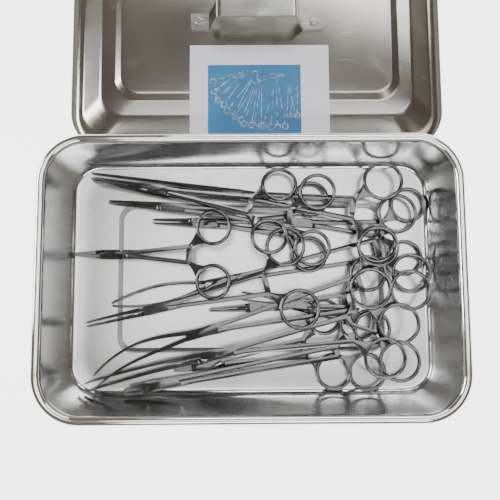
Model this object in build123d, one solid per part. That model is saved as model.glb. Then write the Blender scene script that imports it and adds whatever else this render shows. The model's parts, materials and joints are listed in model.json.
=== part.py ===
from build123d import *
import math
import os

os.makedirs("parts", exist_ok=True)

# Stainless steel instrument tray with its lid lying behind it and a set of ring-handled
# instruments resting in the pan. Millimetres, +Z up. The origin is the middle of the tray's
# base, on the surface that it stands on. +Y points to the lid.

# ---------------------------------------------------------------- driving dimensions
SHEET = 1.0                 # sheet thickness of pan and lid

TRAY_LENGTH = 320.0         # over the rim, along X
TRAY_WIDTH = 214.0          # over the rim, along Y
TRAY_HEIGHT = 50.0
RIM_DIAMETER = 7.5          # rolled bead
RIM_SEAM_ANGLE = 60.0       # open seam of the roll, on the side next to the wall
WALL_DRAFT = 4.5            # how far a wall leans out from base to rim
BASE_CORNER = 24.0          # plan radius of the pan's corners at the base
BASE_FILLET = 5.0           # inside radius between base and wall
PANEL_LENGTH = 218.0        # pressed panel of the base
PANEL_WIDTH = 121.0
PANEL_CORNER = 12.0
PANEL_DEPTH = 1.5
PANEL_SLOPE = 3.0           # plan width of the panel's sloping edge

LID_LENGTH = 318.0
LID_WIDTH = 212.0
LID_CORNER = 34.0           # plan radius of the lid's corners
LID_GAP = 1.0               # between the tray's rim and the lid's near edge
LID_OFFSET_X = 6.0
FLANGE_WIDTH = 10.0
SHOULDER_WIDTH = 18.0
SHOULDER_RISE = 9.0
SHOULDER_CORNER = 28.0      # plan radius at the shoulder's foot
RING_WIDTH = 11.5           # flat ring between the shoulder and the step
STEP_WIDTH = 6.0
STEP_RISE = 3.0
STEP_CORNER = 14.0          # plan radius at the step's foot

HANDLE_LENGTH = 110.0       # strap handle, over its feet
HANDLE_WIDTH = 14.0
HANDLE_THICKNESS = 2.0
HANDLE_HEIGHT = 22.0        # above the lid's centre panel
HANDLE_FOOT = 16.0
HANDLE_SLANT = 8.0          # plan length of each sloping leg
HANDLE_BEND = 3.0           # inner radius of the two upper bends
RIVET_RADIUS = 2.0
RIVET_HEAD = 3.6
RIVET_HEAD_HEIGHT = 1.2

CARD_LENGTH = 116.0
CARD_WIDTH = 78.0
CARD_THICKNESS = 0.5
CARD_OFFSET_X = 8.0
CARD_NEAR_EDGE = 8.0        # from the lid's near edge

LOCK_HALF_THICKNESS = 2.3   # box lock
SLOT_HALF_THICKNESS = 1.2   # slot through the box half
BLADE_HALF_THICKNESS = 1.1  # waist of the blade half, which turns in the slot
LOCK_CLEARANCE = 0.2        # around the waist
LOCK_SHOULDER = 0.5         # full thickness beyond the slot's end
LOCK_TAPER = 4.0            # length over which the lock thins down to the shank
TAPER_DIP = 0.1             # how far the taper ends below the shank's surface
SHANK_HALF_THICKNESS = 1.5
SHANK_NECK = 12.0           # length behind the lock where the shanks lie side by side
NECK_NARROWING = 0.3        # on each side, over the neck
SHANK_SPREAD = 4.6          # shank's middle line to the instrument's middle line,
SHANK_SPREAD_GROWTH = 0.022  # and how it grows with the length of the shank
WEB_HALF_THICKNESS = 1.1    # web between shank and finger ring
WEB_REACH = 1.35            # from the rings' centres to the shank's end, in ring radii
WEB_WAIST = 1.5             # where the web is narrowest, outside the ring
WEB_HALF_WIDTH = 2.8        # there
WEB_SPREAD = 44.0           # half of the angle that the web takes of the ring, degrees
RING_WIRE = 1.5             # half the thickness of a finger ring
RING_SHIFT = 0.6            # how much further out the ring lies than the shank
PARTING = 0.15              # each half's distance from the instrument's middle line
PIN_RADIUS = 1.25
PIN_CLEARANCE = 0.05        # running fit in the blade half
ARM_WIDTH = 4.4             # ratchet arm, along the instrument
ARM_GAP = 0.12              # each arm's distance from the middle plane
ARM_END_GAP = 0.6           # between an arm's end and the other shank
TOOTH_DEPTH = 0.35
TOOTH_WIDTH = 0.6
TOOTH_PITCH = 1.3
TEETH = 3
SERRATION_DEPTH = 0.4
SERRATION_PITCH = 1.6
SERRATED_SHARE = 0.7        # of a straight jaw's length
SERRATED_SHARE_BOWED = 0.25  # of a bowed jaw's length, which meets only near its tip
JAW_GAP = 0.12
TIP_PLAIN = 1.5             # length at the tip without serrations
TIP_ROUNDING = 2.5          # length over which the outer edge rounds in


class Forceps:
    """One ring-handled instrument. Lengths run from the pivot pin. Heights are those of the
    jaw tip and of the middle of the two finger rings above the surface that the tray is on."""

    def __init__(self, name, jaw, shank, ring, pivot, heading, heights, opened=0.0,
                 lock=10.0, lock_width=7.6, jaw_width=7.2, tip_width=3.2, shank_width=3.6,
                 spread=None, curve=0.0, curve_power=2, bow=0.0, flip=1):
        self.name = name
        self.jaw = jaw                  # pivot to jaw tip
        self.shank = shank              # pivot to the line through the rings' centres
        self.ring = ring                # outer radius of a finger ring
        self.pivot = pivot              # X and Y of the pivot
        self.heading = heading          # direction of the jaws, degrees from +X
        self.tip_height, self.left_height, self.right_height = heights
        self.opened = opened            # angle between the halves as it lies, degrees
        self.lock = lock                # half the length of the box lock
        self.lock_width = lock_width
        self.jaw_width = jaw_width      # both jaws together, at the lock
        self.tip_width = tip_width      # both jaws together, at the tip
        self.shank_width = shank_width
        # shank's middle line to the instrument's middle line, where the ratchet arms are
        self.shank_offset = spread or SHANK_SPREAD + SHANK_SPREAD_GROWTH * shank
        self.curve = curve              # sideways bend of the jaws at the tip
        self.curve_power = curve_power  # how late the bend comes
        self.bow = bow                  # how far each jaw bows out between lock and tip
        self.flip = flip                # +1: the box half has its ring on the left

    @property
    def junction(self):
        """Where the shank meets the web and the ratchet arm."""
        return self.shank - WEB_REACH * self.ring

    @property
    def ring_offset(self):
        """From the instrument's middle line to a ring's centre."""
        return self.shank_offset + RING_SHIFT + self.ring

    def plane(self):
        """Plane that the instrument lies in: origin at the pivot, X towards the jaws."""
        slope_along = (self.tip_height - (self.left_height + self.right_height) / 2)
        slope_along /= self.jaw + self.shank
        slope_across = (self.left_height - self.right_height) / (2 * self.ring_offset)
        angle = math.radians(self.heading)
        along = Vector(math.cos(angle), math.sin(angle), slope_along).normalized()
        across = Vector(-math.sin(angle), math.cos(angle), slope_across)
        up = along.cross(across).normalized()
        height = (self.left_height + self.right_height) / 2 + slope_along * self.shank
        return Plane(origin=(*self.pivot, height), x_dir=along, z_dir=up)


# heights: jaw tip, left ring, right ring (left is counter-clockwise from the jaws' direction)
INSTRUMENTS = [
    Forceps("artery_forceps_1", 31, 89, 15, (40.5, 45), 175, (3.5, 5, 5)),
    Forceps("artery_forceps_2", 29, 99, 15, (-34.5, -70.5), -171, (6, 5, 3.5)),
    Forceps("tissue_forceps", 92, 153, 16.5, (-24, -3.5), -168.5, (4.5, 9, 9),
            lock=13, flip=-1, bow=6, jaw_width=6.8, tip_width=4.4),
    Forceps("needle_holder", 32, 162, 15.5, (-70, -85), -170, (12, 8.5, 7.5),
            lock=13, jaw_width=8.4, tip_width=5.6, spread=4.2),
    Forceps("artery_forceps_3", 44, 87, 15, (9, -24.5), -177, (3, 13, 13),
            flip=-1),
    Forceps("artery_forceps_4", 44, 87, 15, (-38, 45), 177.5, (3, 11.5, 8.5),
            opened=1.5),
    Forceps("long_forceps", 114, 127, 16.5, (-20.5, 69.5), 172, (4.5, 17, 14),
            opened=1.5, lock=13, flip=-1),
    Forceps("artery_forceps_5", 44, 90, 16.5, (34.5, -23), 169.5, (11, 18.5, 18.5),
            opened=6),
    Forceps("curved_clamp", 94, 153, 16.5, (-39.5, -44), -166, (5, 23.5, 25),
            opened=4.5, lock=13, flip=-1, curve=17, bow=2.5, curve_power=3),
    Forceps("long_clamp", 110, 128, 16.5, (-27, -61), -169, (8, 25, 27),
            opened=2.5, lock=13, flip=-1, curve=6),
    Forceps("artery_forceps_6", 55, 116, 15, (-63.5, 57.5), 174, (4.5, 17, 19),
            flip=-1),
    Forceps("artery_forceps_7", 60, 112, 16, (-76, -25), -167.5, (5.5, 25, 21),
            opened=1.5, flip=-1),
    Forceps("artery_forceps_8", 52, 100, 15, (-79, 71.5), 169.5, (10, 26, 14),
            opened=1),
    Forceps("mosquito_forceps", 32, 84, 14.5, (-113, 19), 179, (5, 21, 22.5)),
]


def outline(points):
    """Face inside a closed line through the points."""
    return make_face(Polyline(*points, close=True))


def slab(sketch, low, high):
    """Plate of a flat shape between two heights."""
    return extrude(Pos(0, 0, low) * sketch, amount=high - low, dir=(0, 0, 1))


# ---------------------------------------------------------------- tray and lid
def rounded_frustum(length, width, corner, grow, height):
    """Rounded rectangle on Z = 0, widening by grow on each side over its height."""
    taper = -math.degrees(math.atan2(grow, height))
    return extrude(RectangleRounded(length, width, corner), amount=height, taper=taper)


def pan_body(inset, bottom, top, fillet_radius):
    """Filled pan. inset moves every face inwards."""
    wall_top = TRAY_HEIGHT - RIM_DIAMETER / 2
    length = TRAY_LENGTH - 2 * (RIM_DIAMETER + WALL_DRAFT) + 2 * (SHEET - inset)
    width = TRAY_WIDTH - 2 * (RIM_DIAMETER + WALL_DRAFT) + 2 * (SHEET - inset)
    draft = WALL_DRAFT * (top - bottom) / (wall_top - PANEL_DEPTH)
    body = rounded_frustum(length, width, BASE_CORNER + SHEET - inset, draft, top - bottom)
    body = fillet(body.faces().sort_by(Axis.Z)[0].edges(), fillet_radius)
    return Pos(0, 0, bottom) * body


def base_panel(inset):
    """Filled shape of the pressed panel, wider at its top."""
    length = PANEL_LENGTH - 2 * PANEL_SLOPE - 2 * inset
    width = PANEL_WIDTH - 2 * PANEL_SLOPE - 2 * inset
    corner = PANEL_CORNER - PANEL_SLOPE - inset
    return rounded_frustum(length, width, corner, PANEL_SLOPE, PANEL_DEPTH)


def tray_rim():
    """Rolled bead, open along a seam that faces the wall's outer side."""
    bead = RIM_DIAMETER / 2
    length = TRAY_LENGTH - RIM_DIAMETER
    width = TRAY_WIDTH - RIM_DIAMETER
    corner = BASE_CORNER + WALL_DRAFT + bead
    path = Pos(0, 0, TRAY_HEIGHT - bead) * RectangleRounded(length, width, corner).wire()
    seam = outline([(0, 0), (-2 * bead, -2 * bead * math.tan(math.radians(RIM_SEAM_ANGLE))),
                    (0, -2 * bead)])
    section = Circle(bead) - Circle(bead - SHEET) - seam
    section = Plane(origin=(0, -width / 2, TRAY_HEIGHT - bead), x_dir=(0, 1, 0),
                    z_dir=(1, 0, 0)) * section
    return sweep(section, path=path)


def tray_pan():
    """Pressed pan with its panel and the rolled rim, in one piece."""
    wall_top = TRAY_HEIGHT - RIM_DIAMETER / 2
    shell = pan_body(0, PANEL_DEPTH, wall_top, BASE_FILLET + SHEET)
    shell += base_panel(0)
    shell -= pan_body(SHEET, PANEL_DEPTH + SHEET, wall_top, BASE_FILLET)
    shell -= Pos(0, 0, SHEET) * base_panel(SHEET)
    return shell + tray_rim()


def lid_place():
    """Where the lid lies, on the surface behind the tray."""
    y = TRAY_WIDTH / 2 + LID_GAP + LID_WIDTH / 2
    return Pos(LID_OFFSET_X, y, 0)


def lid_layer(inset, corner, grow, height):
    """One raised layer of the lid, narrowing by grow on each side over its height."""
    length = LID_LENGTH - 2 * inset
    width = LID_WIDTH - 2 * inset
    taper = math.degrees(math.atan2(grow, height))
    return extrude(RectangleRounded(length, width, corner), amount=height, taper=taper)


def lid_filled(drop):
    """Filled lid, drop below its outer faces."""
    shoulder = lid_layer(FLANGE_WIDTH + drop, SHOULDER_CORNER, SHOULDER_WIDTH, SHOULDER_RISE)
    step_inset = FLANGE_WIDTH + SHOULDER_WIDTH + RING_WIDTH
    step = lid_layer(step_inset + drop, STEP_CORNER, STEP_WIDTH, STEP_RISE)
    return Pos(0, 0, SHEET - drop) * (shoulder + Pos(0, 0, SHOULDER_RISE) * step)


def lid():
    """Pressed lid: flat flange, shoulder, flat ring, step and centre panel."""
    flange = extrude(RectangleRounded(LID_LENGTH, LID_WIDTH, LID_CORNER), amount=SHEET)
    body = flange + lid_filled(0)
    body -= lid_filled(SHEET)
    return body


def lid_handle():
    """Strap handle: one bent strip with two feet on the centre panel."""
    half = HANDLE_LENGTH / 2
    foot = half - HANDLE_FOOT
    top = HANDLE_HEIGHT
    shoulder = foot - HANDLE_SLANT
    t = HANDLE_THICKNESS
    profile = outline([(-half, 0), (-foot, 0), (-shoulder, top - t), (shoulder, top - t),
                       (foot, 0), (half, 0), (half, t), (foot + t / 2, t), (shoulder + t / 2, top),
                       (-shoulder - t / 2, top), (-foot - t / 2, t), (-half, t)])
    strip = extrude(Plane.XZ * profile, amount=HANDLE_WIDTH / 2, both=True)
    bends = strip.edges().filter_by(Axis.Y).group_by(Axis.Z)[-1]
    strip = fillet(bends, HANDLE_BEND + t)
    bends = strip.edges().filter_by(Axis.Y).filter_by_position(Axis.Z, top - t, top - t)
    strip = fillet(bends.sort_by(Axis.X)[::len(bends) - 1], HANDLE_BEND)
    for side in (-1, 1):
        strip -= Pos(side * rivet_reach(), 0, 0) * Cylinder(RIVET_RADIUS, 3 * t)
    return lid_panel_place() * strip


def rivet_reach():
    """Distance of each handle rivet from the handle's middle."""
    return HANDLE_LENGTH / 2 - HANDLE_FOOT / 2 + 1


def lid_panel_place():
    """On top of the lid's centre panel."""
    return lid_place() * Pos(0, 0, SHEET + SHOULDER_RISE + STEP_RISE)


def handle_rivets():
    """Two rivets through the handle's feet and the lid, with a domed head at each end."""
    rivets = []
    for side in (-1, 1):
        shank = slab(Circle(RIVET_RADIUS), -SHEET, HANDLE_THICKNESS)
        top_head = slab(Circle(RIVET_HEAD), HANDLE_THICKNESS, HANDLE_THICKNESS + RIVET_HEAD_HEIGHT)
        low_head = slab(Circle(RIVET_HEAD), -SHEET - RIVET_HEAD_HEIGHT, -SHEET)
        dome = RIVET_HEAD_HEIGHT * 0.8
        top_head = fillet(top_head.faces().sort_by(Axis.Z)[-1].edges(), dome)
        low_head = fillet(low_head.faces().sort_by(Axis.Z)[0].edges(), dome)
        rivets.append(Pos(side * rivet_reach(), 0, 0) * (shank + top_head + low_head))
    return lid_panel_place() * Compound(children=rivets)


def lid_with_holes():
    """Lid in its place, with a hole for each rivet."""
    body = lid_place() * lid()
    for side in (-1, 1):
        hole = Cylinder(RIVET_RADIUS, 4 * SHEET)
        body -= lid_panel_place() * Pos(side * rivet_reach(), 0, 0) * hole
    return body


def card():
    """Printed card that lies on the lid's centre panel."""
    near = TRAY_WIDTH / 2 + LID_GAP + CARD_NEAR_EDGE
    height = SHEET + SHOULDER_RISE + STEP_RISE
    body = Box(CARD_LENGTH, CARD_WIDTH, CARD_THICKNESS, align=(Align.CENTER, Align.MIN, Align.MIN))
    return Pos(CARD_OFFSET_X, near, height) * body


# ---------------------------------------------------------------- ring-handled instruments
def jaw_outline(tool, side):
    """Jaw on one side of the middle line, with serrations along its inner edge."""
    reach = tool.jaw - tool.lock

    def station(x, share):
        along = max(0.0, (x - tool.lock) / reach)
        width = tool.jaw_width + (tool.tip_width - tool.jaw_width) * along
        inner = JAW_GAP + tool.bow * math.sin(math.pi * along)
        bend = tool.curve * along ** tool.curve_power
        return (x, bend + side * (inner + share * (width / 2 - JAW_GAP)))

    serrated = reach * (SERRATED_SHARE_BOWED if tool.bow else SERRATED_SHARE)
    count = int(serrated / SERRATION_PITCH)
    first = tool.jaw - TIP_PLAIN - count * SERRATION_PITCH
    inner = [station(0, 0)] + [station(tool.lock + (first - tool.lock) * i / 8, 0)
                               for i in range(8)]
    for i in range(count):
        x = first + i * SERRATION_PITCH
        notch = station(x + SERRATION_PITCH / 2, 0)
        inner.append(station(x, 0))
        inner.append((notch[0], notch[1] + side * SERRATION_DEPTH))
    inner.append(station(tool.jaw - TIP_PLAIN, 0))
    # blunt rounded nose: distance back from the tip, and share of the jaw's width
    tip = [station(tool.jaw - back, share) for back, share in ((0, 0.15), (0.2, 0.55), (1, 0.85))]
    outer = [station(tool.lock + (reach - TIP_ROUNDING) * i / 12, 1) for i in range(12, -1, -1)]
    return outline(inner + tip + outer + [(0, side * tool.lock_width / 2)])


def shank_outline(tool, side):
    """Shank from the pivot back to its web, on one side of the middle line."""
    near = tool.shank_offset - tool.shank_width / 2
    far = tool.shank_offset + tool.shank_width / 2
    half = tool.lock_width / 2
    neck = tool.lock + SHANK_NECK
    return outline([(0, side * PARTING), (0, side * half), (-tool.lock, side * half),
                    (-neck, side * (half - NECK_NARROWING)), (-tool.junction, side * far),
                    (-tool.junction, side * near), (-neck, side * PARTING)])


def ring_web(tool, side):
    """Flat web that joins the shank to its finger ring, with hollow curved sides."""
    centre = (-tool.shank, side * tool.ring_offset)
    near = (-tool.junction, side * (tool.shank_offset - tool.shank_width / 2))
    far = (-tool.junction, side * (tool.shank_offset + tool.shank_width / 2))
    towards = math.atan2(side * (tool.shank_offset - tool.ring_offset), tool.shank - tool.junction)
    waist = tool.ring + WEB_WAIST
    lean = math.atan2(WEB_HALF_WIDTH, waist)
    spread = math.radians(WEB_SPREAD)

    def around(radius, turn):
        angle = towards + turn
        return (centre[0] + radius * math.cos(angle), centre[1] + radius * math.sin(angle))

    rim = tool.ring - RING_WIRE
    far_touch = around(rim, side * spread)
    near_touch = around(rim, -side * spread)
    web = make_face([
        Line(near, far),
        Bezier(far, around(waist, side * lean), far_touch),
        Line(far_touch, centre),
        Line(centre, near_touch),
        Bezier(near_touch, around(waist, -side * lean), near),
    ])
    return web - Pos(*centre) * Circle(tool.ring - 1.5 * RING_WIRE)


def ratchet_arm(tool, side, up):
    """Arm that reaches across to the other shank. up is +1 above the middle plane."""
    end = tool.shank_offset - tool.shank_width / 2 - ARM_END_GAP
    length = tool.shank_offset + end
    middle = side * (tool.shank_offset - length / 2)
    thickness = SHANK_HALF_THICKNESS - ARM_GAP
    arm = Pos(-tool.junction, middle, up * (ARM_GAP + thickness / 2)) * Box(
        ARM_WIDTH, length, thickness)
    groove = Box(2 * ARM_WIDTH, TOOTH_WIDTH, 2 * TOOTH_DEPTH)
    for tooth in range(TEETH):
        y = -side * (end - 1.5 * TOOTH_WIDTH - tooth * TOOTH_PITCH)
        arm -= Pos(-tool.junction, y, up * ARM_GAP) * groove
    return arm


def lock_taper(tool):
    """Round lens that the box lock's thick ends are trimmed to."""
    inside = tool.lock + LOCK_SHOULDER
    outside = inside + LOCK_TAPER
    edge = SHANK_HALF_THICKNESS - TAPER_DIP
    profile = outline([(0, -LOCK_HALF_THICKNESS), (inside, -LOCK_HALF_THICKNESS),
                       (outside, -edge), (outside, edge),
                       (inside, LOCK_HALF_THICKNESS), (0, LOCK_HALF_THICKNESS)])
    return revolve(Plane.XZ * profile, axis=Axis.Z)


def handle_and_jaw(tool, side, clear_radius):
    """What a half has outside the box lock. side is its ring's side."""
    plan = shank_outline(tool, side) + jaw_outline(tool, -side)
    clear = Circle(clear_radius)
    thin = slab(plan - clear, -SHANK_HALF_THICKNESS, SHANK_HALF_THICKNESS)
    near = (plan & Circle(tool.lock + LOCK_SHOULDER + LOCK_TAPER)) - clear
    thick = slab(near, -LOCK_HALF_THICKNESS, LOCK_HALF_THICKNESS) & lock_taper(tool)
    web = slab(ring_web(tool, side), -WEB_HALF_THICKNESS, WEB_HALF_THICKNESS)
    ring = Pos(-tool.shank, side * tool.ring_offset) * Torus(tool.ring - RING_WIRE, RING_WIRE)
    return thin + thick + web + ring


def lock_plate(tool):
    """Flat shape of the box lock."""
    return Rectangle(2 * tool.lock, tool.lock_width)


def box_half(tool):
    """Half with the slot: two cheeks around the other half's waist."""
    side = tool.flip
    body = handle_and_jaw(tool, side, tool.lock)
    cheek = lock_plate(tool) & Circle(tool.lock)
    cheek += (shank_outline(tool, side) + jaw_outline(tool, -side)) & Circle(
        tool.lock + 2 * LOCK_SHOULDER)
    cheek -= Circle(PIN_RADIUS)
    body += slab(cheek, SLOT_HALF_THICKNESS, LOCK_HALF_THICKNESS)
    body += slab(cheek, -LOCK_HALF_THICKNESS, -SLOT_HALF_THICKNESS)
    body += ratchet_arm(tool, side, 1)
    return body


def blade_half(tool):
    """Half with the thin waist that passes through the slot."""
    side = -tool.flip
    body = handle_and_jaw(tool, side, tool.lock + LOCK_CLEARANCE)
    waist = lock_plate(tool) & Circle(tool.lock - LOCK_CLEARANCE)
    waist += (shank_outline(tool, side) + jaw_outline(tool, -side)) & Circle(
        tool.lock + 2 * LOCK_SHOULDER)
    waist -= Circle(PIN_RADIUS + PIN_CLEARANCE)
    body += slab(waist, -BLADE_HALF_THICKNESS, BLADE_HALF_THICKNESS)
    body += ratchet_arm(tool, side, -1)
    return body


def pivot_pin():
    """Plain pin through both cheeks and the waist."""
    return Cylinder(PIN_RADIUS, 2 * LOCK_HALF_THICKNESS)


def write(name, shape):
    """Saves one piece under its name."""
    shape.label = name
    export_step(shape, f"parts/{name}.step")


def main():
    write("tray_pan", tray_pan())
    write("lid", lid_with_holes())
    write("lid_handle", lid_handle())
    write("lid_handle_rivets", handle_rivets())
    write("card", card())
    for tool in INSTRUMENTS:
        place = tool.plane()
        turn = tool.flip * tool.opened / 2
        write(f"{tool.name}_box_half", place * (Rot(0, 0, -turn) * box_half(tool)))
        write(f"{tool.name}_blade_half", place * (Rot(0, 0, turn) * blade_half(tool)))
        write(f"{tool.name}_pivot_pin", place * pivot_pin())


if __name__ == "__main__":
    main()
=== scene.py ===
import json
import math
import bmesh
import bpy
from mathutils import Matrix, Vector


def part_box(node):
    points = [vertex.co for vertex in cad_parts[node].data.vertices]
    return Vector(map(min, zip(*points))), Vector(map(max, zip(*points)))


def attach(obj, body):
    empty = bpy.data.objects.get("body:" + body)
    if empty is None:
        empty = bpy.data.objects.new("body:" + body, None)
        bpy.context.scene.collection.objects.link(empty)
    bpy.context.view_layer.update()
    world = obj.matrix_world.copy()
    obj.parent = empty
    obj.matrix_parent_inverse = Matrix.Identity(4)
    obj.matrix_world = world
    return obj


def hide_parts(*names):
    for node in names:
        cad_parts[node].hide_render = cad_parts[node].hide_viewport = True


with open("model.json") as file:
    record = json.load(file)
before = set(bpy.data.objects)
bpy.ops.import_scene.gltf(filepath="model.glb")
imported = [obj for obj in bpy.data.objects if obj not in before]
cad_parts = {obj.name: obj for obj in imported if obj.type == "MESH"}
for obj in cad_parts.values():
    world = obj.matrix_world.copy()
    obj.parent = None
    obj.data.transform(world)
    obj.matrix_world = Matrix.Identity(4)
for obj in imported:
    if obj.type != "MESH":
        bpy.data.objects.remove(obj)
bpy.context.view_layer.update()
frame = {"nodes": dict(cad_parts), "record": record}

# Stainless steel instrument tray, its lid behind it, and ring-handled instruments in the pan.
# Metres, in the frame of the CAD model: the origin is under the middle of the tray.

# ---------------------------------------------------------------- pressed sheets
MM = 0.001
SHEET = 1.0 * MM                # thickness of the tray's and the lid's steel
CORNER_SEGMENTS = 14            # of each rounded corner

# tray pan
RIM = 7.5 * MM                  # diameter of the rolled bead
RIM_CURL = (-150, 180)          # degrees around the bead, from its cut edge to the wall
RIM_SEGMENTS = 26
DRAFT = 4.5 * MM                # lean of each wall
UNDER_BEAD = (0.4 * MM, 3.5 * MM)   # top of the wall: in from the draft, below the bead's middle
WALL_FOOT = (0.6 * MM, 1.2 * MM)    # foot of the wall: out from the base, above its fillet
BASE_CORNER = 24.0 * MM
BASE_FILLET = 5.0 * MM
FILLET_SEGMENTS = 7
FILLET_SHIFT = 0.05 * MM        # fillet's offset outwards, where it meets the wall
FILLET_RUNOUT = 1.2 * MM        # flat band of the base beside the fillet
PANEL_SIZE = (218.0 * MM, 121.0 * MM)
PANEL_CORNER = 12.0 * MM
CORNER_EASE = 0.5               # loss of corner radius for each step inwards
PANEL_DEPTH = 1.5 * MM
PAN_MATERIALS = ("base", "wall", "rim", "edge")
# step down to the panel: in from the panel's outline and down from the base, in mm, and material;
# the sloping faces take the dark "edge" steel, which is painted shade along the panel's step
PANEL_EDGE = ((-0.9, 0.0, "base"), (-0.1, 0.04, "edge"), (0.6, 0.18, "edge"),
              (2.4, 1.32, "edge"), (3.1, 1.46, "edge"), (3.9, 1.5, "base"))

# lid, from its edge inwards: flange, sloping shoulder, flat ring, step up to the centre panel
LID_CORNER = 34.0 * MM
FLANGE = 10.0 * MM
SHOULDER = 18.0 * MM
SHOULDER_RISE = 9.0 * MM
LID_RING = 11.5 * MM
STEP = 6.0 * MM
STEP_RISE = 3.0 * MM
# bends where two of those meet: in from the meeting line, corner radius and rise, in mm
LID_BENDS = {
    "flange": ((-1.5, 24.0, 0.0), (0.0, 23.0, 0.2), (1.5, 24.0, 0.85)),
    "ring": ((-2.5, 20.0, -1.35), (-0.5, 19.0, -0.35), (1.2, 18.0, 0.0)),
    "step": ((-1.0, 18.0, 0.0), (0.0, 18.0, 0.15), (1.0, 18.0, 0.5)),
    "panel": ((-1.0, 16.0, -0.45), (0.0, 16.0, -0.1), (1.0, 16.0, 0.0)),
}

# smooth shading stops at edges above these angles, in degrees
SHEET_SMOOTH = 60
FORGED_SMOOTH = 50
PRINT_SMOOTH = 35

# ---------------------------------------------------------------- instruments
EDGE_ROUND = 0.35 * MM          # bevel of the forged halves' long edges
SHORTEST_EDGE = 1.2 * MM        # shorter edges stay sharp
MERGE = 0.002 * MM
FLAT_ANGLE = math.radians(1.5)  # faces within this angle are joined before the bevel
SHARP_ANGLE = math.radians(38)  # edges above this angle are bevelled

# ---------------------------------------------------------------- steel's finish
GRAIN_DETAIL = 4.0
GRAIN_SHARE = 0.6               # part of the grain in the colour; the cloud has the rest
CLOUD_DETAIL = 3.0
CLOUD_RANGE = (0.3, 0.7)        # cloud values that give the least and the most roughness
STEEL_BUMP = 0.25
HAIRLINE_TURNS = (0.5, -1.1)    # directions of the scratches, in radians
HAIRLINE_DETAIL = 1.0
HAIRLINE_CONTRAST = 9.0
HAIRLINE_ROUGHNESS = 0.1
HAIRLINE_DEPTH = 0.5            # of the grain's depth
MARK_SCALE = 45.0               # water marks
MARK_DETAIL = 6.0
MARK_LEVEL = 0.55
MARK_CONTRAST = 4.0
MARK_ROUGHNESS = 0.06

# ---------------------------------------------------------------- card
BORDER_LEFT = 15.0 * MM         # pale border of the card around its picture
BORDER_RIGHT = 23.5 * MM
BORDER_TOP = 17.0 * MM
CARD_COAT = 0.35
PALE_PAPER = (0.76, 0.78, 0.84, 1)
PAPER_FIBRE = 1500.0
PAPER_BUMP = 0.1
PAPER_DEPTH = 0.05 * MM
DEEP_BLUE = (0.006, 0.08, 0.24, 1)
SKY_BLUE = (0.04, 0.27, 0.52, 1)
BLUE_CLOUDS = 22.0
PRINT_ROUGHNESS = (0.35, 0.15)  # least roughness, and what the print's grain adds
DARK_INK = (0.04, 0.09, 0.15, 1)
SILVER_INK = (0.60, 0.70, 0.78, 1)
INK_SCREEN = 260.0
INK_LEVEL = 0.35
INK_CONTRAST = 3.0

# instruments printed on the card: x, y, direction and length, in mm and degrees
PRINTED_FAN = [(21, 44, 27, 21), (22, 36, 40, 28), (26, 29, 50, 33), (34, 20, 58, 31),
               (40, 15, 63, 27)]
PRINTED_ROW = [(48, 10, 76, 30), (56, 9, 84, 32), (64, 8, 80, 30), (76, 8, 95, 40)]
PRINTED_OTHERS = [(84, 19, 94, 22), (86, 18, 82, 22), (55, 50, 5, 22)]
PRINT_GAP = 0.03 * MM           # lift of the printed layer above the card
PRINT_LAYER = 0.004 * MM        # lift of each printed instrument above the one before it
PRINTED_RING = 2.7 * MM         # radius of a printed finger ring
RING_SEGMENTS = 24
# parts of the ring's radius: the ring's hole and its distance from the middle line, the shaft's
# width and taper, how far out it ends, and where it begins
RING_HOLE = 0.74
RING_OFFSET = 1.15
SHAFT_WIDTH = 0.24
SHAFT_TAPER = 0.12
SHAFT_END = 0.1
SHAFT_ROOT = 0.8
SHAFT_START = 0.9               # of the ring's distance from the middle line

# ---------------------------------------------------------------- surroundings and camera
TABLE_HALF = 3.0
TABLE_GAP = 0.2 * MM
TABLE_GLOW = 3.2
WORLD_STRENGTH = 1.2
# height of a direction, from the horizon at 0 to straight up at 1, and the colour there
WORLD_SHADES = ((0.0, (0.85, 0.85, 0.85)), (0.10, (0.60, 0.58, 0.55)), (0.30, (0.13, 0.11, 0.085)),
                (0.75, (0.15, 0.125, 0.10)), (1.0, (0.24, 0.22, 0.20)))
# name, sides, watts, place and the point it faces
SOFTBOXES = (("ceiling_softbox", (3.3, 1.5), 36, (0.72, 0.22, 3.0), (0.72, 0.22, 0)),
             ("soft_left", (0.9, 0.25), 14, (-1.35, 0.3, 0.75), (0, 0, 0)),
             ("soft_back", (1.3, 0.3), 10, (0.3, 1.2, 1.1), (0, 0, 0)),
             ("soft_front", (1.2, 0.25), 10, (0.1, -0.95, 1.3), (0, 0, 0)))
SENSOR = 36.0
FOCAL = 0.9262                  # focal length over the sensor's width
NEAR = 0.01
EYE = (-0.0022, -0.0083, 0.3871)
PITCH, YAW, ROLL = -0.080, 0.004, 0.006


# ---------------------------------------------------------------- mesh helpers
def place_in_scene(name, data):
    """Object of a mesh, lamp or camera, in the scene."""
    placed = bpy.data.objects.new(name, data)
    bpy.context.scene.collection.objects.link(placed)
    return placed


def mesh_object(bm, name, materials):
    """Object of the bmesh, at the origin: its place is in its mesh."""
    mesh = bpy.data.meshes.new(name)
    bm.to_mesh(mesh)
    bm.free()
    for material in materials:
        mesh.materials.append(material)
    return place_in_scene(name, mesh)


def finish_piece(bm, name, body, materials, smooth_angle, replaced=()):
    """Makes a smooth-shaded piece of the bmesh, riding on its body."""
    piece = mesh_object(bm, name, materials)
    piece.data.shade_smooth()
    piece.data.set_sharp_from_angle(angle=math.radians(smooth_angle))
    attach(piece, body)
    if replaced:
        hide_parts(*replaced)
    return piece


def plan_of(node):
    """Middle of a node's box on the ground, its half sizes in x and y, and its top."""
    low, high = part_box(node)
    centre = Vector((low[0] + high[0], low[1] + high[1], 0)) / 2
    return centre, (high[0] - low[0]) / 2, (high[1] - low[1]) / 2, high[2]


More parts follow.
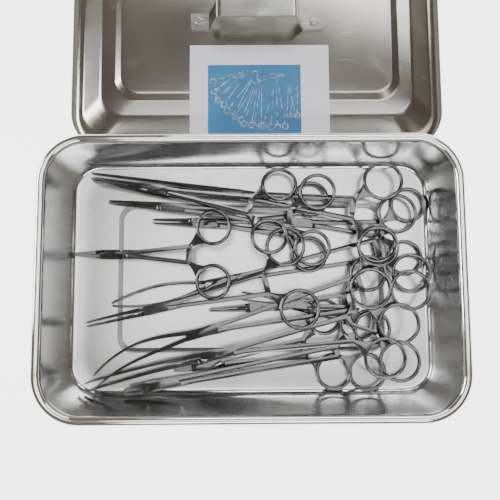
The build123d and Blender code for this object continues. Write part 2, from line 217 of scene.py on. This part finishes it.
def shape_loop(verts, centre, half_x, half_y, corner, z):
    """Moves a closed loop of vertices onto a rounded rectangle."""
    steps = len(verts) // 4
    for i, vert in enumerate(verts):
        quarter, step = divmod(i, steps)
        angle = math.pi / 2 * (quarter + step / (steps - 1))
        sign_x = 1 if quarter in (0, 3) else -1
        sign_y = 1 if quarter in (0, 1) else -1
        vert.co.x = centre.x + sign_x * (half_x - corner) + corner * math.cos(angle)
        vert.co.y = centre.y + sign_y * (half_y - corner) + corner * math.sin(angle)
        vert.co.z = z


def loop_edges(bm, ring):
    """Edges of a closed loop of vertices."""
    return [bm.edges.get((a, b)) for a, b in zip(ring, ring[1:] + ring[:1])]


def pressed_sheet(centre, stations):
    """Sheet with a filled middle: each station is a rounded rectangle (half x, half y, corner,
    z, material), from the outer edge inwards. The material is that of the band before it."""
    bm = bmesh.new()
    ring = bmesh.ops.create_circle(bm, segments=4 * (CORNER_SEGMENTS + 1), radius=1.0)["verts"]
    shape_loop(ring, centre, *stations[0][:4])
    for half_x, half_y, corner, z, material in stations[1:]:
        made = bmesh.ops.extrude_edge_only(bm, edges=loop_edges(bm, ring))["geom"]
        new_verts = {v for v in made if isinstance(v, bmesh.types.BMVert)}
        ring = [next(e.other_vert(v) for e in v.link_edges if e.other_vert(v) in new_verts)
                for v in ring]
        shape_loop(ring, centre, half_x, half_y, corner, z)
        for face in (f for f in made if isinstance(f, bmesh.types.BMFace)):
            face.material_index = material
    floor = bmesh.ops.contextual_create(bm, geom=ring + loop_edges(bm, ring))["faces"]
    for face in floor:
        face.material_index = stations[-1][4]
    bmesh.ops.recalc_face_normals(bm, faces=bm.faces)
    return bm


def arc(start, end, radius, count):
    """Points (outward, up) of an arc about its own centre, angles in degrees."""
    angles = [math.radians(start + (end - start) * i / count) for i in range(count + 1)]
    return [(radius * math.cos(angle), radius * math.sin(angle)) for angle in angles]


def thicken(piece):
    """Gives a sheet its thickness, on the side away from its normals."""
    solid = piece.modifiers.new("thickness", "SOLIDIFY")
    solid.thickness = SHEET
    solid.offset = -1
    solid.use_even_offset = True


# ---------------------------------------------------------------- nodes
def feed(tree, value, socket):
    """Links a socket to another one, or sets it to a number or a colour."""
    if isinstance(value, bpy.types.NodeSocket):
        tree.links.new(value, socket)
    else:
        socket.default_value = value


def maths(tree, operation, first, second, clamp=False):
    """Result of a math node on two numbers or sockets."""
    node = tree.nodes.new("ShaderNodeMath")
    node.operation = operation
    node.use_clamp = clamp
    feed(tree, first, node.inputs[0])
    feed(tree, second, node.inputs[1])
    return node.outputs[0]


def object_place(tree):
    """Place on the object, in metres from the origin."""
    return tree.nodes.new("ShaderNodeTexCoord").outputs["Object"]


def noise(tree, place, scale, detail=2.0):
    """Value of a noise texture at a place."""
    node = tree.nodes.new("ShaderNodeTexNoise")
    node.inputs["Detail"].default_value = detail
    feed(tree, place, node.inputs["Vector"])
    feed(tree, scale, node.inputs["Scale"])
    return node.outputs["Fac"]


def mix(tree, factor, first, second):
    """Colour between two colours."""
    node = tree.nodes.new("ShaderNodeMix")
    node.data_type = "RGBA"
    for value, label in ((factor, "Factor"), (first, "A"), (second, "B")):
        feed(tree, value, node.inputs[label])
    return node.outputs["Result"]


def bump(tree, height, strength, distance):
    """Normal of a surface bumped by a height."""
    node = tree.nodes.new("ShaderNodeBump")
    node.inputs["Strength"].default_value = strength
    node.inputs["Distance"].default_value = distance
    feed(tree, height, node.inputs["Height"])
    return node.outputs["Normal"]


def new_material(name):
    """A material, its node tree and its shader."""
    material = bpy.data.materials.new(name)
    material.use_nodes = True
    tree = material.node_tree
    return material, tree, tree.nodes["Principled BSDF"]


def new_group(name, inputs, outputs):
    """A node group with its input and output nodes."""
    group = bpy.data.node_groups.new(name, "ShaderNodeTree")
    for label, kind, value in inputs:
        socket = group.interface.new_socket(name=label, in_out="INPUT", socket_type=kind)
        socket.default_value = value
    for label in outputs:
        group.interface.new_socket(name=label, in_out="OUTPUT", socket_type="NodeSocketFloat")
    return group, group.nodes.new("NodeGroupInput"), group.nodes.new("NodeGroupOutput")


def brushing_group():
    """Fine straight grain, with a slower cloudy change. Stretch sets the grain's direction."""
    group, entry, leave = new_group(
        "brushing",
        [("Stretch", "NodeSocketVector", (40, 900, 900)), ("Cloud Scale", "NodeSocketFloat", 30)],
        ["Grain", "Cloud"])
    place = object_place(group)
    mapping = group.nodes.new("ShaderNodeMapping")
    feed(group, place, mapping.inputs["Vector"])
    feed(group, entry.outputs["Stretch"], mapping.inputs["Scale"])
    feed(group, noise(group, mapping.outputs["Vector"], 1.0, GRAIN_DETAIL), leave.inputs["Grain"])
    feed(group, noise(group, place, entry.outputs["Cloud Scale"], CLOUD_DETAIL),
         leave.inputs["Cloud"])
    return group


def scratches_group():
    """Short straight hairlines in two directions as a mask, and soft water marks."""
    group, entry, leave = new_group(
        "scratches",
        [("Length", "NodeSocketFloat", 25), ("Fineness", "NodeSocketFloat", 900),
         ("Amount", "NodeSocketFloat", 0.3)],
        ["Lines", "Marks"])
    place = object_place(group)
    stretch = group.nodes.new("ShaderNodeCombineXYZ")
    for axis, label in (("X", "Length"), ("Y", "Fineness"), ("Z", "Length")):
        feed(group, entry.outputs[label], stretch.inputs[axis])
    threshold = maths(group, "SUBTRACT", 1.0, entry.outputs["Amount"])
    lines = 0.0
    for turn in HAIRLINE_TURNS:
        mapping = group.nodes.new("ShaderNodeMapping")
        mapping.inputs["Rotation"].default_value = (0, 0, turn)
        feed(group, place, mapping.inputs["Vector"])
        feed(group, stretch.outputs["Vector"], mapping.inputs["Scale"])
        streak = noise(group, mapping.outputs["Vector"], 1.0, HAIRLINE_DETAIL)
        line = maths(group, "SUBTRACT", streak, threshold, clamp=True)
        line = maths(group, "MULTIPLY", line, HAIRLINE_CONTRAST, clamp=True)
        lines = maths(group, "ADD", line, lines)
    spots = maths(group, "SUBTRACT", noise(group, place, MARK_SCALE, MARK_DETAIL), MARK_LEVEL,
                  clamp=True)
    feed(group, lines, leave.inputs["Lines"])
    feed(group, maths(group, "MULTIPLY", spots, MARK_CONTRAST, clamp=True), leave.inputs["Marks"])
    return group


BRUSHING = brushing_group()
SCRATCHES = scratches_group()


# ---------------------------------------------------------------- steels
def steel(name, dark, light, rough, stretch, cloud, depth, scratched=0.32, metallic=1.0):
    """Stainless steel: colour between dark and light with the grain, roughness in its range
    with the cloud, hairline scratches and water marks. Depth is that of the grain's bump."""
    material, tree, shader = new_material(name)
    shader.inputs["Metallic"].default_value = metallic
    brush = tree.nodes.new("ShaderNodeGroup")
    brush.node_tree = BRUSHING
    brush.inputs["Stretch"].default_value = stretch
    brush.inputs["Cloud Scale"].default_value = cloud
    scratch = tree.nodes.new("ShaderNodeGroup")
    scratch.node_tree = SCRATCHES
    scratch.inputs["Amount"].default_value = scratched

    tone = maths(tree, "ADD", maths(tree, "MULTIPLY", brush.outputs["Grain"], GRAIN_SHARE),
                 maths(tree, "MULTIPLY", brush.outputs["Cloud"], 1 - GRAIN_SHARE))
    feed(tree, mix(tree, tone, (*dark, 1), (*light, 1)), shader.inputs["Base Color"])

    spread = tree.nodes.new("ShaderNodeMapRange")
    for label, value in zip(("From Min", "From Max", "To Min", "To Max"),
                            (*CLOUD_RANGE, *rough)):
        spread.inputs[label].default_value = value
    feed(tree, brush.outputs["Cloud"], spread.inputs["Value"])
    worn = spread.outputs["Result"]
    for label, added in (("Marks", MARK_ROUGHNESS), ("Lines", HAIRLINE_ROUGHNESS)):
        worn = maths(tree, "ADD", worn, maths(tree, "MULTIPLY", scratch.outputs[label], added))
    feed(tree, worn, shader.inputs["Roughness"])

    height = maths(tree, "SUBTRACT", brush.outputs["Grain"],
                   maths(tree, "MULTIPLY", scratch.outputs["Lines"], HAIRLINE_DEPTH))
    feed(tree, bump(tree, height, STEEL_BUMP, depth), shader.inputs["Normal"])
    return material


STEELS = {
    "base": steel("satin_base", (0.58, 0.59, 0.60), (0.88, 0.89, 0.89), rough=(0.20, 0.30),
                  stretch=(350, 2400, 2400), cloud=9, depth=0.06 * MM, metallic=0.9),
    # dark steel of the sloping step down to the panel: painted shade, the same sheet as the base
    # painted far darker
    "edge": steel("drawn_panel_edge_painted_shade", (0.16, 0.155, 0.15), (0.34, 0.335, 0.33),
                  rough=(0.30, 0.42), stretch=(350, 900, 900), cloud=30, depth=0.04 * MM),
    "wall": steel("half_polished_wall", (0.54, 0.545, 0.545), (0.77, 0.77, 0.77),
                  rough=(0.13, 0.22), stretch=(120, 900, 2600), cloud=18, depth=0.03 * MM),
    "rim": steel("bright_rim", (0.78, 0.78, 0.78), (0.90, 0.90, 0.90), rough=(0.06, 0.14),
                 stretch=(200, 700, 700), cloud=22, depth=0.02 * MM),
    "lid": steel("brushed_lid", (0.28, 0.27, 0.25), (0.52, 0.505, 0.48), rough=(0.16, 0.26),
                 stretch=(60, 2600, 2600), cloud=10, depth=0.05 * MM, scratched=0.26),
    "handle": steel("satin_handle", (0.36, 0.36, 0.35), (0.54, 0.54, 0.53), rough=(0.2, 0.3),
                    stretch=(80, 1800, 1800), cloud=25, depth=0.04 * MM),
    # instruments' steel: satin finish, with a colour painted far darker than the tray's steel as
    # painted shade for their dark reflections
    "tool": steel("satin_instrument_painted_shade", (0.06, 0.064, 0.068), (0.25, 0.255, 0.26),
                  rough=(0.13, 0.23), stretch=(300, 1400, 1400), cloud=60, depth=0.03 * MM),
    "pin": steel("pivot_pin_steel", (0.07, 0.07, 0.07), (0.20, 0.20, 0.20), rough=(0.2, 0.3),
                 stretch=(900, 900, 900), cloud=90, depth=0.03 * MM),
}


# ---------------------------------------------------------------- tray pan
def tray_pan():
    """The pan: rolled bead, leaning walls, filleted base and the panel pressed into it."""
    centre, half_x, half_y, highest = plan_of("tray_pan")
    base_x = half_x - RIM - DRAFT
    base_y = half_y - RIM - DRAFT
    bead = highest - RIM / 2
    base_top = PANEL_DEPTH + SHEET
    fillet_top = base_top + BASE_FILLET
    stations = []

    def wall_station(outward, z, material):
        stations.append((base_x + outward, base_y + outward, BASE_CORNER + outward, z,
                         PAN_MATERIALS.index(material)))

    for outward, up in arc(*RIM_CURL, RIM / 2, RIM_SEGMENTS):
        wall_station(DRAFT + RIM / 2 + outward, bead + up, "rim")
    wall_station(DRAFT - UNDER_BEAD[0], bead - UNDER_BEAD[1], "wall")
    wall_station(WALL_FOOT[0], fillet_top + WALL_FOOT[1], "wall")
    for outward, up in arc(0, -90, BASE_FILLET, FILLET_SEGMENTS):
        wall_station(outward - BASE_FILLET + FILLET_SHIFT, fillet_top + up, "wall")
    wall_station(-BASE_FILLET - FILLET_RUNOUT, base_top, "base")
    for inward, drop, material in PANEL_EDGE:
        edge = inward * MM
        stations.append((PANEL_SIZE[0] / 2 - edge, PANEL_SIZE[1] / 2 - edge,
                         PANEL_CORNER - CORNER_EASE * edge, base_top - drop * MM,
                         PAN_MATERIALS.index(material)))
    thicken(finish_piece(pressed_sheet(centre, stations), "tray_pan_pressed", "tray",
                         [STEELS[key] for key in PAN_MATERIALS], SHEET_SMOOTH, ["tray_pan"]))


# ---------------------------------------------------------------- lid
def lid():
    """The lid: flange, sloping shoulder, flat ring and raised centre panel."""
    centre, half_x, half_y, _ = plan_of("lid")
    ring_line = FLANGE + SHOULDER
    step_line = ring_line + LID_RING
    ring = SHEET + SHOULDER_RISE
    meetings = {"flange": (FLANGE, SHEET), "ring": (ring_line, ring), "step": (step_line, ring),
                "panel": (step_line + STEP, ring + STEP_RISE)}
    stations = [(half_x, half_y, LID_CORNER, SHEET, 0)]
    for bend, (line, height) in meetings.items():
        for inward, corner, up in LID_BENDS[bend]:
            edge = line + inward * MM
            stations.append((half_x - edge, half_y - edge, corner * MM, height + up * MM, 0))
    thicken(finish_piece(pressed_sheet(centre, stations), "lid_pressed", "lid",
                         [STEELS["lid"]], SHEET_SMOOTH, ["lid"]))


# ---------------------------------------------------------------- CAD nodes
def paint(node, material):
    """Gives a CAD node its material."""
    mesh = frame["nodes"][node].data
    mesh.materials.clear()
    mesh.materials.append(material)


def rounded_copy(node, body):
    """Copy of a forged half with its long sharp edges rounded."""
    bm = bmesh.new()
    bm.from_mesh(frame["nodes"][node].data)
    bmesh.ops.remove_doubles(bm, verts=bm.verts, dist=MERGE)
    bmesh.ops.dissolve_limit(bm, angle_limit=FLAT_ANGLE, verts=bm.verts, edges=bm.edges)
    sharp = [e for e in bm.edges if len(e.link_faces) == 2 and e.calc_length() > SHORTEST_EDGE
             and e.calc_face_angle(0) > SHARP_ANGLE]
    bmesh.ops.bevel(bm, geom=sharp, offset=EDGE_ROUND, offset_type="OFFSET", segments=2,
                    profile=0.5, affect="EDGES", material=-1, clamp_overlap=True)
    finish_piece(bm, node + "_finished", body, [STEELS["tool"]],
                 FORGED_SMOOTH, [node])


def instruments():
    """A rounded copy of each instrument half; the pins are the CAD's."""
    for body, nodes in frame["record"]["behaviour"]["bodies"].items():
        for node in nodes:
            if node.endswith("_half"):
                rounded_copy(node, body)
            elif node.endswith("_pivot_pin"):
                paint(node, STEELS["pin"])


# ---------------------------------------------------------------- picture card
def satin_print(tree, grain):
    """Roughness of print, with its grain."""
    return maths(tree, "ADD", maths(tree, "MULTIPLY", grain, PRINT_ROUGHNESS[1]),
                 PRINT_ROUGHNESS[0])


def card_material():
    """Printed card: a pale border around a blue picture, with the paper's fibre."""
    low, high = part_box("card")
    material, tree, shader = new_material("printed_card")
    shader.inputs["Coat Weight"].default_value = CARD_COAT
    place = object_place(tree)
    axes = tree.nodes.new("ShaderNodeSeparateXYZ")
    feed(tree, place, axes.inputs["Vector"])
    across, along = axes.outputs["X"], axes.outputs["Y"]
    picture = maths(tree, "MULTIPLY",
                    maths(tree, "GREATER_THAN", across, low[0] + BORDER_LEFT),
                    maths(tree, "LESS_THAN", across, high[0] - BORDER_RIGHT))
    picture = maths(tree, "MULTIPLY", picture,
                    maths(tree, "LESS_THAN", along, high[1] - BORDER_TOP))
    clouds = noise(tree, place, BLUE_CLOUDS)
    blue = mix(tree, clouds, DEEP_BLUE, SKY_BLUE)
    feed(tree, mix(tree, picture, PALE_PAPER, blue), shader.inputs["Base Color"])
    feed(tree, satin_print(tree, clouds), shader.inputs["Roughness"])
    feed(tree, bump(tree, noise(tree, place, PAPER_FIBRE), PAPER_BUMP, PAPER_DEPTH),
         shader.inputs["Normal"])
    return material


def ink_material():
    """Silver-grey ink with the screen's unevenness."""
    material, tree, shader = new_material("silver_grey_ink")
    screen = noise(tree, object_place(tree), INK_SCREEN)
    contrast = maths(tree, "MULTIPLY", maths(tree, "SUBTRACT", screen, INK_LEVEL), INK_CONTRAST,
                     clamp=True)
    feed(tree, mix(tree, contrast, DARK_INK, SILVER_INK), shader.inputs["Base Color"])
    feed(tree, satin_print(tree, screen), shader.inputs["Roughness"])
    return material


def printed_instrument(bm, place, length):
    """Flat silhouette of a ring-handled instrument, its rings at the origin, pointing along X."""
    offset = PRINTED_RING * RING_OFFSET
    for side in (-1, 1):
        outer, inner = (bmesh.ops.create_circle(bm, segments=RING_SEGMENTS, radius=radius)["verts"]
                        for radius in (PRINTED_RING, PRINTED_RING * RING_HOLE))
        edges = {e for v in outer + inner for e in v.link_edges}
        bmesh.ops.bridge_loops(bm, edges=list(edges))
        beside = Matrix.Translation((0, side * offset, 0))
        bmesh.ops.transform(bm, matrix=place @ beside, verts=outer + inner)
        shaft = bmesh.ops.create_grid(bm, x_segments=1, y_segments=1, size=0.5)["verts"]
        for vert in shaft:
            along = vert.co.x + 0.5
            width = PRINTED_RING * (SHAFT_WIDTH - SHAFT_TAPER * along)
            line = side * (offset * (1 - along) * SHAFT_START + SHAFT_END * PRINTED_RING)
            vert.co = Vector((PRINTED_RING * SHAFT_ROOT + along * length,
                              line + vert.co.y * width, 0))
        bmesh.ops.transform(bm, matrix=place, verts=shaft)


def card_picture():
    """Thin printed layer on the card, with the instruments of its picture."""
    low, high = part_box("card")
    bm = bmesh.new()
    for i, (x, y, turn, length) in enumerate(PRINTED_FAN + PRINTED_ROW + PRINTED_OTHERS):
        start = (low[0] + x * MM, low[1] + y * MM, high[2] + PRINT_GAP + PRINT_LAYER * i)
        place = Matrix.Translation(start) @ Matrix.Rotation(math.radians(turn), 4, "Z")
        printed_instrument(bm, place, length * MM)
    bmesh.ops.recalc_face_normals(bm, faces=bm.faces)
    for face in bm.faces:
        if face.normal.z < 0:
            face.normal_flip()
    finish_piece(bm, "card_picture_print", "lid", [ink_material()], PRINT_SMOOTH)


# ---------------------------------------------------------------- surroundings
def table_top():
    """Bright white table under the object."""
    material, _, shader = new_material("pale_table")
    shader.inputs["Base Color"].default_value = (0.92, 0.92, 0.92, 1)
    shader.inputs["Roughness"].default_value = 0.8
    shader.inputs["Emission Color"].default_value = (1, 1, 1, 1)
    shader.inputs["Emission Strength"].default_value = TABLE_GLOW
    bm = bmesh.new()
    bmesh.ops.create_grid(bm, x_segments=1, y_segments=1, size=TABLE_HALF,
                          matrix=Matrix.Translation((0, 0, -TABLE_GAP)))
    mesh_object(bm, "table_top", [material])


def studio_world():
    """Dim brown room, with a pale horizon, coloured by height."""
    world = bpy.data.worlds.new("studio")
    bpy.context.scene.world = world
    world.use_nodes = True
    tree = world.node_tree
    background = tree.nodes["Background"]
    background.inputs["Strength"].default_value = WORLD_STRENGTH
    axes = tree.nodes.new("ShaderNodeSeparateXYZ")
    direction = tree.nodes.new("ShaderNodeTexCoord").outputs["Generated"]
    feed(tree, direction, axes.inputs["Vector"])
    ramp = tree.nodes.new("ShaderNodeValToRGB")
    feed(tree, axes.outputs["Z"], ramp.inputs["Fac"])
    stops = ramp.color_ramp.elements
    horizon, *between, zenith = WORLD_SHADES
    for stop, (height, shade) in ((stops[0], horizon), (stops[1], zenith)):
        stop.position = height
        stop.color = (*shade, 1)
    for height, shade in between:
        stops.new(height).color = (*shade, 1)
    feed(tree, ramp.outputs["Color"], background.inputs["Color"])


def softboxes():
    """Rectangular lamps, each facing the point it lights."""
    for name, size, energy, place, aim in SOFTBOXES:
        data = bpy.data.lights.new(name, "AREA")
        data.shape = "RECTANGLE"
        data.size, data.size_y = size
        data.energy = energy
        lamp = place_in_scene(name, data)
        lamp.location = place
        lamp.rotation_euler = (Vector(aim) - Vector(place)).to_track_quat("-Z", "Y").to_euler()


def camera():
    """View from above the middle of the tray, turned slightly."""
    data = bpy.data.cameras.new("camera")
    data.sensor_width = SENSOR
    data.lens = SENSOR * FOCAL
    data.clip_start = NEAR
    eye = place_in_scene("camera", data)
    turn = (Matrix.Rotation(ROLL, 3, "Z") @ Matrix.Rotation(PITCH, 3, "X")
            @ Matrix.Rotation(YAW, 3, "Y"))
    eye.matrix_world = Matrix.Translation(EYE) @ turn.transposed().to_4x4()
    bpy.context.scene.camera = eye


tray_pan()
lid()
instruments()
paint("card", card_material())
card_picture()
paint("lid_handle", STEELS["handle"])
paint("lid_handle_rivets", STEELS["handle"])
table_top()
studio_world()
softboxes()
camera()
